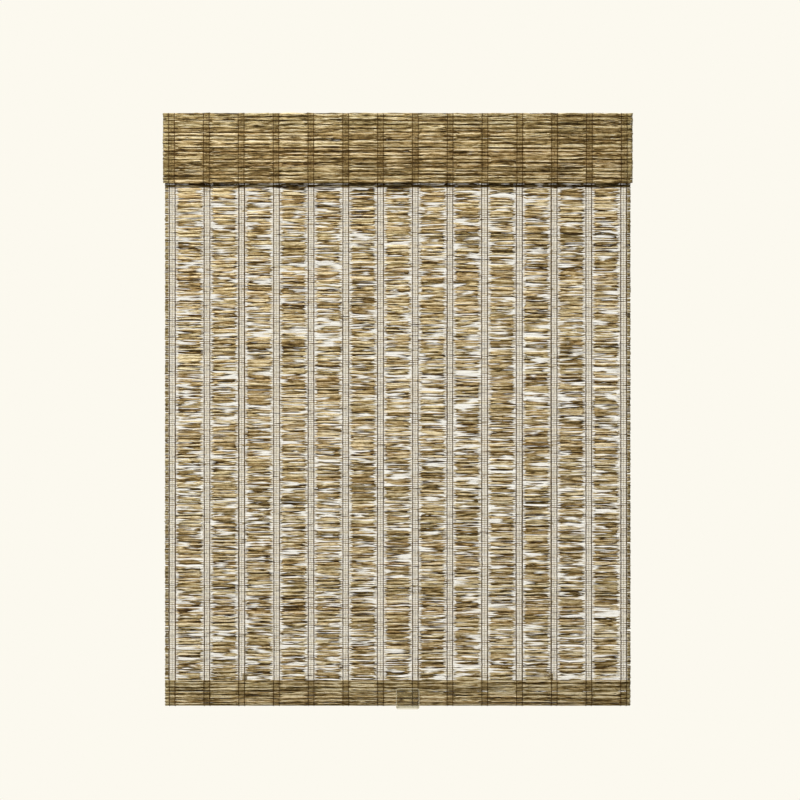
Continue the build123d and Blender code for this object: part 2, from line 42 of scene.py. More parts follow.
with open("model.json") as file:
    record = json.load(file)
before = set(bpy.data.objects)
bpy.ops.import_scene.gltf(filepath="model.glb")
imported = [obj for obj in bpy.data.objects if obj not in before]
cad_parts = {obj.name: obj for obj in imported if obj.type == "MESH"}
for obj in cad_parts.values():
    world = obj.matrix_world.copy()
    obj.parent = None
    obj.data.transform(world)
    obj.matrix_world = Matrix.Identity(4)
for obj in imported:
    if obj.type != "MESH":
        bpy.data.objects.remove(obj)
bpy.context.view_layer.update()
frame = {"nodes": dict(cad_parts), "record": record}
MM = 0.001

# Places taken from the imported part
mat_low, mat_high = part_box("shade_mat")
valance_low, valance_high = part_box("valance")
cord_low, cord_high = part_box("left_lift_cord")
tab_low, tab_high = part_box("lift_handle")

# Rows of the mat and its hem, one for each bundle of reed, as in the part
MAT_ROWS = 152
MAT_THICKNESS = 4.0 * MM
HEM_DEPTH = 15.0 * MM
CROWN = 1.1 * MM
HEM_RADIUS = HEM_DEPTH / 2 - CROWN
HEM_CENTRE = mat_low.z + HEM_RADIUS
PITCH = (mat_high.z - HEM_CENTRE) / MAT_ROWS
POCKET_ROWS = 4
SLOPE_ROWS = 2
HEM_ROWS = POCKET_ROWS + SLOPE_ROWS
HEM_TOP = HEM_CENTRE + HEM_ROWS * PITCH
FRONT_Y = mat_low.y + MAT_THICKNESS / 2
HEM_BACK_Y = mat_high.y - MAT_THICKNESS / 2

# The hem's turn round its foot, in degrees from the front, and how small its bundles are there and on the
# slope back to the mat
TURN_Y = (FRONT_Y + HEM_BACK_Y) / 2
TURN_RADIUS = (HEM_BACK_Y - FRONT_Y) / 2
TURN_ANGLES = (35, 90, 145)
TURN_SCALE = 0.72
SLOPE_SCALE = 0.9

# Rows of the valance, and the rows of the mat that start behind it and end just below it. The last of these
# rows get a painted shadow of the valance: how many, and how much darker
VALANCE_ROWS = 18
VALANCE_PITCH = (valance_high.z - valance_low.z) / VALANCE_ROWS
VALANCE_Y = (valance_low.y + valance_high.y) / 2
ROWS_PAST_VALANCE = 2
SHADED_ROWS = 2
SHADED_DARKER = 0.3

# Warp pairs
PAIR_PITCH = 70.0 * MM
PAIR_HALF = 5.7 * MM
PAIRS = [(i + 0.5) * PAIR_PITCH for i in range(-7, 7)]
YARN_PLACES = np.array([pair + side * PAIR_HALF for pair in PAIRS for side in (-1, 1)])
BAYS = len(PAIRS) + 1

# Rings along a stem: where they lie in the bay between two pairs, and how open the bundle is at each.
# It is closed at the yarns, opens up over a margin and is nearly full at the selvedge
YARN_CLEARANCE = 0.8 * MM
MARGIN = 4.0 * MM
MARGIN_OPEN = 0.12
BAY_SHARES = (0, 0.12, 0.37, 0.63, 0.88, 1)
SELVEDGE_INSET = 5.2 * MM
SELVEDGE_OPEN = 0.8
EDGE_OPEN = 0.95

# Each stem of a bundle: its height in the bundle, its depth, half height and half thickness, as shares, the
# way its ridge faces and how much lighter it is. The last two lie behind. How much lighter is painted shade
# and light: the stems at a bundle's edges are darker, the lowest most, and the middle ones lighter.
STEMS = (
    (0.74, -0.16, 0.30, 0.54, 1, -0.08),
    (0.27, -0.48, 0.31, 0.50, 1, 0.14),
    (-0.24, -0.44, 0.31, 0.52, 1, 0.08),
    (-0.74, -0.12, 0.30, 0.54, 1, -0.30),
    (0.46, 0.40, 0.30, 0.50, -1, 0.0),
    (-0.44, 0.36, 0.30, 0.50, -1, 0.0),
)

# The two ways the reeds are woven: dense in the valance, the hem and behind the valance, and open in the
# rest of the mat, where the stems are thin in patches that light comes through
DENSE = SimpleNamespace(
    open=False,
    pair_height=0.92,    # height of a bundle between the yarns of a pair, as a share of a row
    pair_stem=0.95,      # size of a stem there, as a share
    shift=0,             # 1 where bundles shift up and down along their length, 0 where they don't
    bundle_tones=0.18,   # how far bundles differ in tone
    dark_tone=-0.36,     # what is added to the tone of dark stems
    # Painted shade: the rear stems darker, so that the gaps between the front stems look shaded
    rear_painted_shade_and_glow=-0.30,     # what is added to the tone of the rear stems
    pair_tone_and_painted_glow=0.20,      # what is added to the tone of stems between the yarns of a pair
    least_tone=0.10,     # the darkest tone
    hue=0.64,            # the mean hue
)
OPEN = SimpleNamespace(
    open=True,
    pair_height=1.02,
    pair_stem=0.35,
    shift=1,
    bundle_tones=0.22,
    dark_tone=-0.44,
    # Painted glow: the rear stems lighter, as if lit through the mat from behind
    rear_painted_shade_and_glow=0.20,
    # Painted glow: the stems between the yarns of a pair much lighter, as if lit from behind
    pair_tone_and_painted_glow=0.60,
    least_tone=0,
    hue=0.60,
)

# Tones run from 0, dark, to 1, pale. At each ring a new stem may start, with the chance given, and a number
# from 0 to 1 says which kind it is: a dark and thin one, a pale one, or one between
TONE_MEAN = 0.58
HUNG_LIGHTER = -0.04
HEM_LIGHTER = 0.04
VALANCE_LIGHTER = -0.05
BUNDLE_CHANGES = 0.14
STEM_CHANGES = 0.22
DARK_BELOW = 0.17
PALE_ABOVE = 0.83
PALE_TONE = 0.38
BETWEEN_TONES = 0.6
TONE_DRIFT = 0.03
TONE_STREAK = 0.18
TONE_GRAIN = 0.09
TONE_OF_BAY = 0.05
SHADOW_CHANCE = 0.05
SHADOW_TONE = -0.25
PAIR_TONE_SHARE = 0.45
SELVEDGE_TONE_SHARE = 0.5
SELVEDGE_TONE = 0.24

# Dark nodes of the stems, most of them beside the yarns and none at the selvedges
NODE_CHANCE = 0.010
NODE_CHANCE_AT_YARN = 0.030
NODE_TONE = 0.05
NODE_SWELL = 1.7
NODE_REACH = PAIRS[-1] + 7 * MM

# Hues run from 0, warm, to 1, olive
BUNDLE_HUES = 0.12
BAY_HUES = 0.14
SELVEDGE_HUE = 0.3

# How much of its row a bundle fills. In the open mat 84% of the bays are full, 10% less so and the rest
# least
DENSE_FULLNESS_WANDER = 0.05
BAY_CHANCES = (0.84, 0.94)
BAY_FULLNESS = (1.03, 0.88, 0.74)
OPEN_FULLNESS_WANDER = 0.10
FULLNESS_BOUNDS = (0.5, 1.12)

# Size of a stem: its spread along the stem and from stem to stem, and the size of dark, front and rear ones
# and where a stem is broken
SIZE_WANDER = 0.22
SIZE_SPREAD = 0.10
DARK_SIZE = 0.7
DENSE_FRONT_SIZE = 1.05
DENSE_REAR_SIZE = 1.5
OPEN_REAR_SIZE = 0.7
BREAK_CHANCE = 0.05
BREAK_SIZE = 0.5

# The open mat's patches: how much the thickness of a bundle, of half a bundle and of one stem count, and
# the size of the stems at some thicknesses
BUNDLE_PART = 0.7
HALF_PART = 0.95
STEM_PART = 0.45
PATCH_LEVELS = (-1.10, -0.88, -0.52, 0.9)
PATCH_SIZES = (0.10, 0.84, 1.28, 1.50)

# How the thickness and depth of a stem follow its size between the yarns: the share that stays and the share
# that follows
THICKNESS_SHARES = (0.6, 0.4)
DEPTH_SHARES = (0.55, 0.45)

# How far the stems wander from their places
BUNDLE_SHIFT = 0.45 * MM
BUNDLE_WANDER = 0.5 * MM
STEM_WANDER = 0.35 * MM
OPEN_WANDER = 0.85 * MM
OPEN_JITTER = 0.2 * MM
DEPTH_WANDER = 0.12 * MM
RING_WANDER = 2.0 * MM
RING_WANDER_MOST = 1.5 * RING_WANDER
END_WANDER = 0.45 * MM

# Warp yarns and middle threads: half thickness, how far they stand out from the middle of the reeds, the
# share of that at a crossing, and how they wander
MAT_YARN = 0.95 * MM
FINE_YARN = 0.8 * MM
MAT_THREAD = 0.4 * MM
VALANCE_THREAD = 0.45 * MM
YARN_CREST = 2.3 * MM
HEM_YARN_CREST = 2.2 * MM
HEM_YARN_WAVE = 0.3 * MM
HEM_YARN_STEP = 20    # degrees between its points round the foot
MAT_THREAD_CREST = 1.9 * MM
VALANCE_THREAD_CREST = 2.1 * MM
CROSSING_SHARE = 0.35
YARN_DRIFT = 0.03 * MM
YARN_WANDER = 0.22 * MM
YARN_DEPTH_WANDER = 0.1 * MM
THREAD_WANDER = 0.3 * MM

# Stray stems that curve over their neighbours
STRAYS_OF_MAT = 320
STRAYS_OF_VALANCE = 110
STRAY_RINGS = 9
STRAY_LENGTHS = (14 * MM, 52 * MM)
STRAY_SIZES = (0.34 * MM, 0.6 * MM)
STRAY_FLATNESS = 0.8
STRAY_TAPER = 0.6    # how much thinner its ends are
STRAY_SLOPE = 2.2 * MM
STRAY_BOW = 2.6 * MM
STRAY_OUT = 1.9 * MM
STRAY_OUT_WANDER = 0.15 * MM
STRAY_TUCK = 1.4 * MM
STRAY_TONES = (0.2, 0.45, 0.8)
STRAY_TONE_WANDER = 0.06
STRAY_HUE = 0.5
STRAY_EDGE = mat_high.x - 30 * MM
STRAY_MARGIN = 8 * MM

# Lift cords: where they hang, their spools' axis and their knots, as in the part
SHAFT_Y = -10.1 * MM
SHAFT_Z = -25.0 * MM
WRAP_RADIUS = 9.8 * MM
WRAP_TURNS = 0.62
CORD_RADIUS = 0.7 * MM
KNOT_RADIUS = 1.8 * MM
CORD_X = (cord_low.x + cord_high.x) / 2
CORD_Y = SHAFT_Y - WRAP_RADIUS
KNOT_Z = cord_low.z + KNOT_RADIUS
CORD_RINGS = 25
WRAP_RINGS = 26
KNOT_RINGS = 11
KNOT_SIDES = 10
KNOT_SIZE = 0.97 * KNOT_RADIUS
KNOT_LUMPS = 0.06
KNOT_LUMP_ANGLE = 14    # the lumps' wave from its middle to an end, in radians
KNOT_END = 1.02         # just over 1, so that its ends stay a little blunt

# Tapes, and how far their middle, width and thickness wander, the last two as shares
TAPES = ("valance_hook_tape", "valance_loop_tape", "mat_hook_tape", "mat_loop_tape")
TAPE_RINGS = 181
TAPE_WANDER = 0.05 * MM
TAPE_WIDTH_WANDER = 0.012
TAPE_THICKNESS_WANDER = 0.04

# The map for baked pictures has one strip for each tube, stacked four high for each one along. The used part
# of a strip, as shares: its length and where that starts, its height and where that starts
STRIP_STACK = 4
STRIP_LENGTH = 0.98
STRIP_START = 0.01
STRIP_HEIGHT = 0.7
STRIP_FOOT = 0.15


def srgb(red, green, blue):
    """A display colour, 0 to 255, as linear light."""
    channels = (red, green, blue)
    return tuple(((c / 255 + 0.055) / 1.055) ** 2.4 if c > 10 else c / 255 / 12.92 for c in channels)


# Mesh code


def new_mesh(name, points, faces, smooth=True):
    """A mesh from corner rows. faces is a list of integer arrays, each with its own number of corners."""
    mesh = bpy.data.meshes.new(name)
    corners = np.concatenate([f.ravel() for f in faces])
    counts = np.concatenate([np.full(len(f), f.shape[1]) for f in faces])
    starts = np.concatenate([[0], np.cumsum(counts)[:-1]])
    mesh.vertices.add(len(points))
    mesh.vertices.foreach_set("co", np.ascontiguousarray(points, np.float32).ravel())
    mesh.loops.add(len(corners))
    mesh.loops.foreach_set("vertex_index", corners.astype(np.int32))
    mesh.polygons.add(len(counts))
    mesh.polygons.foreach_set("loop_start", starts.astype(np.int32))
    mesh.update(calc_edges=True)
    mesh.polygons.foreach_set("use_smooth", np.full(len(counts), smooth))
    return mesh


def new_piece(name, data):
    """Links an object with this name and data to the scene."""
    piece = bpy.data.objects.new(name, data)
    bpy.context.scene.collection.objects.link(piece)
    return piece


def dress(piece, surface, body, replaced, squashed=False):
    """Gives a finished piece its material and the body it moves with, and hides the node that it stands for.
    """
    piece.data.materials.append(surface)
    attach(piece, body)
    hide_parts(replaced)
    if squashed:
        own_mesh(piece)


def sheath_and_caps(tube_count, rings, sides):
    """Corner numbers of the side faces and of the two ends of closed tubes."""
    index = np.arange(tube_count * rings * sides).reshape(tube_count, rings, sides)
    after = np.roll(index, -1, axis=2)
    sheath = np.stack([index[:, :-1], after[:, :-1], after[:, 1:], index[:, 1:]], axis=-1).reshape(-1, 4)
    return sheath, np.concatenate([index[:, 0, ::-1], index[:, -1]])


def tubes(name, line, across, depth, sides=4, lean=None, values=None, turn=0.0, vertical=False, smooth=True):
    """Closed tubes along lines of points, shape (tubes, rings, 3). across and depth are half sizes in Z and
    Y for each ring, and lean turns each tube's section. A negative depth turns the section about. Each value
    in values becomes an attribute, one number a ring. Vertical tubes have their section in X and Y."""
    count, rings = line.shape[:2]
    angles = turn + 2 * math.pi * np.arange(sides) / sides
    up = across[..., None] * np.cos(angles)
    out = -depth[..., None] * np.sin(angles)
    lean = np.zeros((count, rings)) if lean is None else lean
    cos_lean = np.cos(lean)[..., None]
    sin_lean = np.sin(lean)[..., None]
    points = np.repeat(line[:, :, None, :], sides, axis=2)
    points[..., 1] += out * cos_lean - up * sin_lean
    points[..., 0 if vertical else 2] += up * cos_lean + out * sin_lean
    sheath, caps = sheath_and_caps(count, rings, sides)
    about = depth.mean(axis=1) < 0
    for faces, repeated in ((sheath, np.repeat(about, (rings - 1) * sides)), (caps, np.tile(about, 2))):
        faces[repeated] = faces[repeated][:, ::-1]
    mesh = new_mesh(name, points.reshape(-1, 3), [sheath, caps], smooth)
    for key, number in (values or {}).items():
        layer = mesh.attributes.new(key, "FLOAT", "POINT")
        spread = np.repeat(number[:, :, None], sides, axis=2)
        layer.data.foreach_set("value", np.ascontiguousarray(spread, np.float32).ravel())
    flat_map(mesh, count, rings, sides)
    return new_piece(name, mesh)


def flat_map(mesh, count, rings, sides):
    """A map with one strip for each tube, on which its sides share one place, as they share one colour."""
    columns = max(1, round(math.sqrt(count / STRIP_STACK)))
    strips = math.ceil(count / columns)
    ring = np.repeat(np.arange(rings)[None, :, None], count, axis=0)
    ring = np.repeat(ring, sides, axis=2)
    tube = np.arange(count)[:, None, None]
    left = (ring / (rings - 1) * STRIP_LENGTH + STRIP_START + tube % columns) / columns
    bottom = (tube // columns + STRIP_FOOT) / strips + 0 * ring
    corners = np.zeros(len(mesh.loops), np.int32)
    mesh.loops.foreach_get("vertex_index", corners)
    where = np.stack([left.ravel()[corners], bottom.ravel()[corners]], axis=1)
    place = np.arange(len(corners)) % 4
    where[:, 1] += np.where((place == 1) | (place == 2), STRIP_HEIGHT / strips, 0)
    layer = mesh.uv_layers.new(name="OFBake")
    layer.data.foreach_set("uv", where.astype(np.float32).ravel())


# Reed stems


def bundle(y, z, lean=0.0, scale=1.0, darker=0.0):
    """The place of one bundle of reeds, how far it leans, its size and how much darker it is, as painted
    shade.
    """
    return y, z, lean, scale, darker


def level(row):
    """Height of a row of the mat."""
    return mat_high.z - (row + 0.5) * PITCH


def ring_places(edge):
    """X of the rings along a stem, how open the bundle is there and which bay it belongs to."""
    places = [(-edge, EDGE_OPEN, 0), (-edge + SELVEDGE_INSET, SELVEDGE_OPEN, 0)]
    for number, pair in enumerate(PAIRS):
        places.append((pair - PAIR_HALF - YARN_CLEARANCE, 0.0, number))
        places.append((pair + PAIR_HALF + YARN_CLEARANCE, 0.0, number + 1))
        if number < len(PAIRS) - 1:
            left = pair + PAIR_HALF + MARGIN
            right = PAIRS[number + 1] - PAIR_HALF - MARGIN
            for share in BAY_SHARES:
                opened = MARGIN_OPEN if share in (0, 1) else 1.0
                places.append((left + share * (right - left), opened, number + 1))
    places += [(edge - SELVEDGE_INSET, SELVEDGE_OPEN, len(PAIRS)), (edge, EDGE_OPEN, len(PAIRS))]
    return [np.array(column) for column in zip(*sorted(places))]


def smooth(field):
    """Each value averaged with its neighbours along the stem."""
    wide = np.pad(field, ((0, 0), (1, 1)), mode="edge")
    return 0.25 * wide[:, :-2] + 0.5 * wide[:, 1:-1] + 0.25 * wide[:, 2:]


class Chance:
    """Random numbers for some bundles of reed, the same in every run."""

    def __init__(self, seed, bundles, bay):
        self.random = np.random.default_rng(seed)
        self.bundles = bundles
        self.bay = bay

    def field(self, amount, columns=None):
        """Numbers about 0 for each ring of each bundle."""
        return self.random.normal(0, amount, (self.bundles, columns or len(self.bay)))

    def by_bay(self, amount):
        """Numbers about 0 for each bay of each bundle, given at its rings."""
        return self.field(amount, BAYS)[:, self.bay]

    def share(self, columns=None):
        """Numbers from 0 to 1 for each ring of each bundle."""
        return self.random.random((self.bundles, columns or len(self.bay)))

    def in_runs(self, changes):
        """Numbers from 0 to 1 that hold along a stem until a new one starts."""
        run = np.cumsum(self.share() < changes, axis=1)
        return np.take_along_axis(self.share(len(self.bay) + 1), run, axis=1)


def fullness(chance, cloth):
    """How much of its row each bundle fills along its length."""
    even = 1 + smooth(chance.field(DENSE_FULLNESS_WANDER))
    if not cloth.open:
        return even
    of_bay = np.take(BAY_FULLNESS, np.digitize(chance.share(BAYS), BAY_CHANCES))
    full = of_bay[:, chance.bay] + smooth(chance.field(OPEN_FULLNESS_WANDER))
    return np.clip(full, *FULLNESS_BOUNDS)


def bundle_thickness(chance):
    """Where whole bundles, and their lower and upper halves, are thick or thin along their length."""
    whole = smooth(chance.field(1.0))
    return whole / whole.std(), [smooth(chance.field(1.0)) for _ in ("lower", "upper")]


def stem_tone(chance, cloth, kind, base, facing, held):
    """Tone of one stem of each bundle along its length."""
    between = BETWEEN_TONES * (kind - 0.5)
    of_kind = np.where(kind < DARK_BELOW, cloth.dark_tone, np.where(kind > PALE_ABOVE, PALE_TONE, between))
    drift = np.cumsum(chance.field(TONE_DRIFT), axis=1)
    drift -= drift.mean(axis=1, keepdims=True)
    shadow = np.where(chance.share() < SHADOW_CHANCE, SHADOW_TONE, 0)
    streak = shadow + smooth(chance.field(TONE_STREAK)) + chance.field(TONE_GRAIN)
    tone = base + of_kind + drift + chance.by_bay(TONE_OF_BAY) + streak
    # Painted shade darkens the rear stems of the dense weave, and a painted glow lightens those of the open
    # mat
    if facing < 0:
        tone = tone + cloth.rear_painted_shade_and_glow
    # Between the yarns of a pair: a lighter tone, and in the open mat a painted glow on top of it
    tone = np.where(held, tone * PAIR_TONE_SHARE + cloth.pair_tone_and_painted_glow, tone)
    # The two rings at each end
    selvedge = [0, 1, -2, -1]
    tone[:, selvedge] = SELVEDGE_TONE_SHARE * tone[:, selvedge] + SELVEDGE_TONE
    return tone


def stem_size(chance, cloth, kind, high, facing, inside, thickness):
    """Size of one stem of each bundle along its length, against the usual."""
    size = np.exp(smooth(chance.field(SIZE_WANDER)) + chance.field(SIZE_SPREAD, 1))
    size = size * np.where(kind < DARK_BELOW, DARK_SIZE, 1.0)
    if not cloth.open:
        return size * (DENSE_FRONT_SIZE if facing > 0 else DENSE_REAR_SIZE)
    broken = inside & (chance.share() < BREAK_CHANCE)
    whole, halves = thickness
    own = smooth(chance.field(1.0))
    combined = BUNDLE_PART * whole + HALF_PART * halves[high > 0] + STEM_PART * own
    size = size * np.where(inside, np.interp(combined, PATCH_LEVELS, PATCH_SIZES), 1)
    size = size * np.where(broken, BREAK_SIZE, 1)
    return size if facing > 0 else size * np.where(inside, OPEN_REAR_SIZE, 1)


def squeezed(shares, squeeze):
    """What is left of a measure where the stem has this share of its size."""
    kept, following = shares
    return kept + following * squeeze


def weave(rows, edge, pitch, cloth, lighter, seed):
    """Centre lines, sizes and tones of the stems of some rows, one bundle a row, for each stem in STEMS."""
    x, openness, bay = ring_places(edge)
    openness = openness[None, :]
    chance = Chance(seed, len(rows), bay)
    y, z, lean, scale, darker = (column[:, None] for column in np.array(rows, float).T)
    half = pitch / 2
    inside = (openness >= MARGIN_OPEN) & (np.abs(x) < PAIRS[-1])
    held = openness == 0
    near_pairs = np.abs(x) < NODE_REACH

    full = fullness(chance, cloth)
    thickness = bundle_thickness(chance) if cloth.open else None
    spread = openness * full + (1 - openness) * cloth.pair_height
    shift = openness * cloth.shift * (chance.by_bay(BUNDLE_SHIFT) + smooth(chance.field(BUNDLE_WANDER)))
    bundle_tone = cloth.bundle_tones * (chance.in_runs(BUNDLE_CHANGES) - 0.5)
    bundle_hue = chance.field(BUNDLE_HUES, 1)
    squeeze = openness + (1 - openness) * cloth.pair_stem

    woven = []
    # light is the painted shading of each stem within its bundle, from STEMS
    for high, deep, tall, thick, facing, light in STEMS:
        kind = chance.in_runs(STEM_CHANGES)
        tone = stem_tone(chance, cloth, kind, TONE_MEAN + lighter + light + bundle_tone, facing, held)
        size = stem_size(chance, cloth, kind, high, facing, inside, thickness)
        up = tall * half * size * squeeze * scale
        out = thick * MAT_THICKNESS / 2 * squeezed(THICKNESS_SHARES, squeeze) * scale
        if cloth.open:
            wander = chance.by_bay(STEM_WANDER) + smooth(chance.field(OPEN_WANDER))
            wander = wander + chance.field(OPEN_JITTER)
        else:
            wander = chance.field(STEM_WANDER)
        local_z = high * half * spread + shift + inside * wander
        local_y = deep * MAT_THICKNESS / 2 * squeezed(DEPTH_SHARES, squeeze) + chance.field(DEPTH_WANDER)
        along = np.where(inside, chance.field(RING_WANDER), 0)
        along[:, [0, -1]] = chance.field(END_WANDER, 2)
        along = np.clip(along, -RING_WANDER_MOST, RING_WANDER_MOST)
        knotty = (chance.share() < np.where(held, NODE_CHANCE_AT_YARN, NODE_CHANCE)) & near_pairs
        # darker is the painted shadow of the valance on the rows just below it
        tone = np.where(knotty, NODE_TONE, tone) - darker
        up = np.where(knotty, up * NODE_SWELL, up)
        line = np.stack([x + along, y + (local_y * np.cos(lean) - local_z * np.sin(lean)) * scale,
                         z + (local_z * np.cos(lean) + local_y * np.sin(lean)) * scale], axis=-1)
        hue = cloth.hue + bundle_hue + chance.by_bay(BAY_HUES) + SELVEDGE_HUE * (np.abs(x) > PAIRS[-1])
        woven.append({"line": line, "up": up, "out": facing * out, "lean": lean + 0 * up,
                      "tone": np.clip(tone, cloth.least_tone, 1), "hue": np.clip(hue, 0, 1)})
    return woven


def stem_piece(name, woven, body, replaced, squashed=False):
    """One piece of all the stems in a list from weave."""
    every = {key: np.concatenate([stem[key] for stem in woven]) for key in woven[0]}
    piece = tubes(name, every["line"], every["up"], every["out"], sides=3, lean=every["lean"],
                  turn=math.pi / 2, values={"tone": every["tone"], "hue": every["hue"]})
    dress(piece, reed, body, replaced, squashed)


def strays(name, count, low, high, face, replaced, seed, squashed=False):
    """Short loose stems that bow over the face of the weave and tuck in at both ends."""
    random = np.random.default_rng(seed)
    steps = np.linspace(-0.5, 0.5, STRAY_RINGS)[None, :]
    length = random.uniform(*STRAY_LENGTHS, (count, 1))
    x = random.uniform(-STRAY_EDGE, STRAY_EDGE, (count, 1)) + steps * length
    z = random.uniform(low, high, (count, 1)) + random.normal(0, STRAY_SLOPE, (count, 1)) * 2 * steps
    z = z + random.normal(0, STRAY_BOW, (count, 1)) * (1 - 4 * steps ** 2)
    y = face + random.normal(0, STRAY_OUT_WANDER, (count, 1)) + STRAY_TUCK * (2 * np.abs(steps)) ** 3
    size = random.uniform(*STRAY_SIZES, (count, 1)) * (1 - STRAY_TAPER * (2 * np.abs(steps)) ** 4)
    tone = random.choice(STRAY_TONES, (count, 1)) + random.normal(0, STRAY_TONE_WANDER, x.shape)
    line = np.stack([x, y + 0 * x, z], axis=-1)
    piece = tubes(name, line, size, STRAY_FLATNESS * size, sides=3, turn=math.pi / 2,
                  values={"tone": np.clip(tone, 0, 1), "hue": np.full(x.shape, STRAY_HUE)})
    dress(piece, reed, "headrail", replaced, squashed)


# Yarns, cords and tapes


def yarn_line(levels, middle, seed):
    """Points of the two strands of every warp yarn, from the top down. They cross between bundles."""
    random = np.random.default_rng(seed)
    pitch = levels[0] - levels[1]
    z = [levels[0] + pitch / 2]
    for value in levels:
        z += [value, value - pitch / 2]
    z = np.array(z)
    shape = (len(YARN_PLACES), len(z))
    at_crest = np.arange(len(z)) % 2 == 1
    lines = []
    for face in (middle - YARN_CREST, middle + YARN_CREST):
        y = np.where(at_crest, face, middle + CROSSING_SHARE * (face - middle))
        x = YARN_PLACES[:, None] + np.cumsum(random.normal(0, YARN_DRIFT, shape), axis=1)
        x = x + random.normal(0, YARN_WANDER, shape)
        y = y + random.normal(0, YARN_DEPTH_WANDER, shape)
        lines.append(np.stack([x, y, np.broadcast_to(z, shape)], axis=-1))
    return np.concatenate(lines)


def middle_line(levels, middle, crest, seed):
    """Points of the thin thread up the middle of each warp pair, over one bundle and under the next."""
    y = np.where(np.arange(len(levels)) % 2 == 0, middle - crest, middle + crest)
    return plain_line(PAIRS, y, np.array(levels), THREAD_WANDER, seed)


def hem_line(seed):
    """Points of each hem yarn, which runs down the front, turns round the foot and climbs the back."""
    crest = HEM_YARN_CREST
    wave = (-HEM_YARN_WAVE, HEM_YARN_WAVE)
    reach = TURN_RADIUS + crest
    points = [(FRONT_Y - crest - wave[i % 2], HEM_TOP - i * PITCH / 2) for i in range(2 * HEM_ROWS)]
    for angle in range(0, 181, HEM_YARN_STEP):
        a = math.radians(angle)
        points.append((TURN_Y - reach * math.cos(a), HEM_CENTRE - reach * math.sin(a)))
    points += [(HEM_BACK_Y + crest + wave[i % 2], HEM_CENTRE + i * PITCH / 2)
               for i in range(1, 2 * POCKET_ROWS)]
    y, z = np.array(points).T
    return plain_line(YARN_PLACES, y, z, YARN_WANDER, seed)


def plain_line(places, y, z, wander, seed):
    """Points of threads that hang at some places in X and share one path in Y and Z."""
    random = np.random.default_rng(seed)
    x = np.array(places)[:, None] + random.normal(0, wander, (len(places), len(z)))
    return np.stack([x, np.broadcast_to(y, x.shape), np.broadcast_to(z, x.shape)], axis=-1)


def yarn_piece(name, line, size, body, replaced, squashed=False):
    """One piece of all the threads along some lines."""
    half = np.full(line.shape[:2], size)
    piece = tubes(name, line, half, half, sides=3, vertical=True)
    dress(piece, yarn, body, replaced, squashed)


def swept(name, points, radii, sides=6):
    """A closed tube along points that lie in one plane of constant X."""
    points = np.array(points)
    along = np.gradient(points, axis=0)
    along /= np.linalg.norm(along, axis=1, keepdims=True)
    aside = np.array([1.0, 0, 0])
    outward = np.cross(along, aside)
    angles = 2 * math.pi * np.arange(sides) / sides
    radii = np.broadcast_to(radii, len(points))[:, None, None]
    rings = points[:, None, :] + radii * (np.cos(angles)[None, :, None] * aside
                                          + np.sin(angles)[None, :, None] * outward[:, None, :])
    mesh = new_mesh(name, rings.reshape(-1, 3), sheath_and_caps(1, len(points), sides))
    return new_piece(name, mesh)


def cord_parts(name, x):
    """The hanging stretch of a lift cord, its turn round the spool and its knot."""
    straight = [(x, CORD_Y, KNOT_Z + share * (SHAFT_Z - KNOT_Z)) for share in np.linspace(0, 1, CORD_RINGS)]
    turns = np.linspace(0, 2 * math.pi * WRAP_TURNS, WRAP_RINGS)
    wrap = [(x, SHAFT_Y - WRAP_RADIUS * math.cos(a), SHAFT_Z + WRAP_RADIUS * math.sin(a)) for a in turns]
    heights = np.linspace(-1, 1, KNOT_RINGS)
    ball = [(x, CORD_Y, KNOT_Z + KNOT_SIZE * h) for h in heights]
    lumps = 1 + KNOT_LUMPS * np.cos(heights * KNOT_LUMP_ANGLE) - KNOT_LUMPS
    hung = swept(f"{name}_hung", straight, CORD_RADIUS)
    wound = swept(f"{name}_wound", wrap, CORD_RADIUS)
    knot = swept(f"{name}_knot", ball, KNOT_SIZE * np.sqrt(KNOT_END - heights ** 2) * lumps, KNOT_SIDES)
    for piece, body in ((hung, "headrail"), (wound, "headrail"), (knot, "bottom_rail")):
        dress(piece, cord, body, name)
    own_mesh(hung)


def tape_strip(name, seed):
    """A flat tape whose edges and face wander a little."""
    random = np.random.default_rng(seed)
    low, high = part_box(name)
    x = np.linspace(low.x, high.x, TAPE_RINGS)[None, :]
    middle = (low + high) / 2
    corner = math.sqrt(2)
    line = np.stack([x, middle.y + 0 * x, middle.z + random.normal(0, TAPE_WANDER, x.shape)], axis=-1)
    tall = (high.z - low.z) / 2 * corner * (1 - np.abs(random.normal(0, TAPE_WIDTH_WANDER, x.shape)))
    deep = (high.y - low.y) / 2 * corner * (1 - np.abs(random.normal(0, TAPE_THICKNESS_WANDER, x.shape)))
    piece = tubes(f"{name}_strip", line, tall, deep, turn=math.pi / 4, smooth=False)
    dress(piece, tape, "headrail", name)


# Materials

# Plain surfaces: how fine their speckles and the grain in them are, and how far their roughness varies
SPECKLE = 60
GRAIN = 12 * SPECKLE
ROUGHNESS_SPREAD = 0.12

# Reed: how far the streaks change its tone, where in the fine noise a fleck begins and how dark it is
STREAK_TONES = 1.3
FLECK_ABOVE = 0.61
FLECK_DARKER = 0.36

# Clear plastic: how much of it shows seen straight on, how much more where it turns away and in a painted
# highlight round its edge, and how sharp the corners of that band are, where it begins and how fast it grows
CLEAR_SHOWN = 0.02
TURNED_SHOWN = 0.8
PAINTED_EDGE_SHOWN = 0.34
TURNED_POWER = 3.0
EDGE_POWER = 12.0
EDGE_BEGINS = 0.42
EDGE_GROWTH = 3.0


